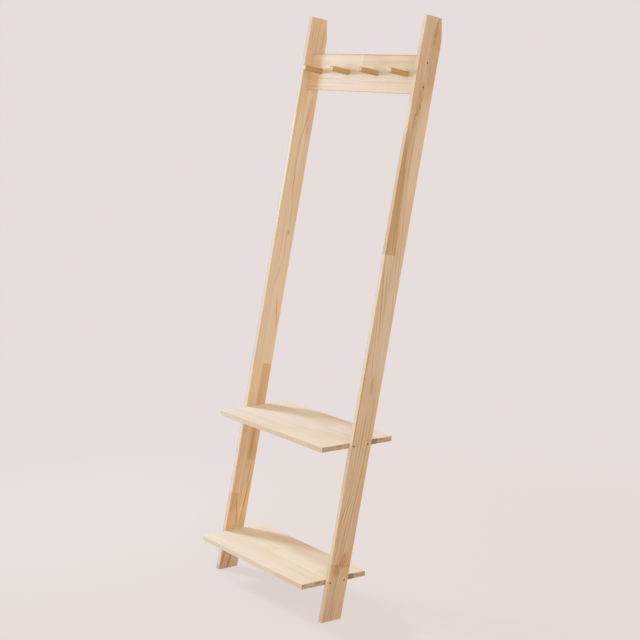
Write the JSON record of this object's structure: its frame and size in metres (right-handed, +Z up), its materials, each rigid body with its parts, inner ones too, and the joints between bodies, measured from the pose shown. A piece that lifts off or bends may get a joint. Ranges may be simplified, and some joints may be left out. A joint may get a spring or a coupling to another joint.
{
  "type": "leaning coat rack",
  "caption": "Pine coat rack that leans on a wall: slim side rails carry a board with square pegs near the top and flat shelves below.",
  "frame": {"origin": "on the floor, in the middle of the rack's box: midway between the rails and midway from the lower shelf's front edge to the wall", "axes": "+X to the right as seen from the front, +Y back to the wall, +Z up"},
  "size_m": [0.6, 0.4748, 1.7402],
  "materials": {
    "rail_pine": "planed and clear-coated, satin",
    "shelf_pine": "planed and clear-coated, satin",
    "board_pine": "planed and clear-coated, satin",
    "peg_pine": "planed and clear-coated, satin",
    "screw_steel": "blackened steel"
  },
  "bodies": {
    "root": {"left_rail": "rail_pine", "right_rail": "rail_pine", "peg_board": "board_pine", "upper_shelf": "shelf_pine", "lower_shelf": "shelf_pine", "peg_1": "peg_pine", "peg_2": "peg_pine", "peg_3": "peg_pine", "peg_4": "peg_pine", "upper_shelf_screws": "screw_steel", "lower_shelf_screws": "screw_steel", "peg_board_screws": "screw_steel", "peg_screws": "screw_steel"}
  },
  "joints": []
}
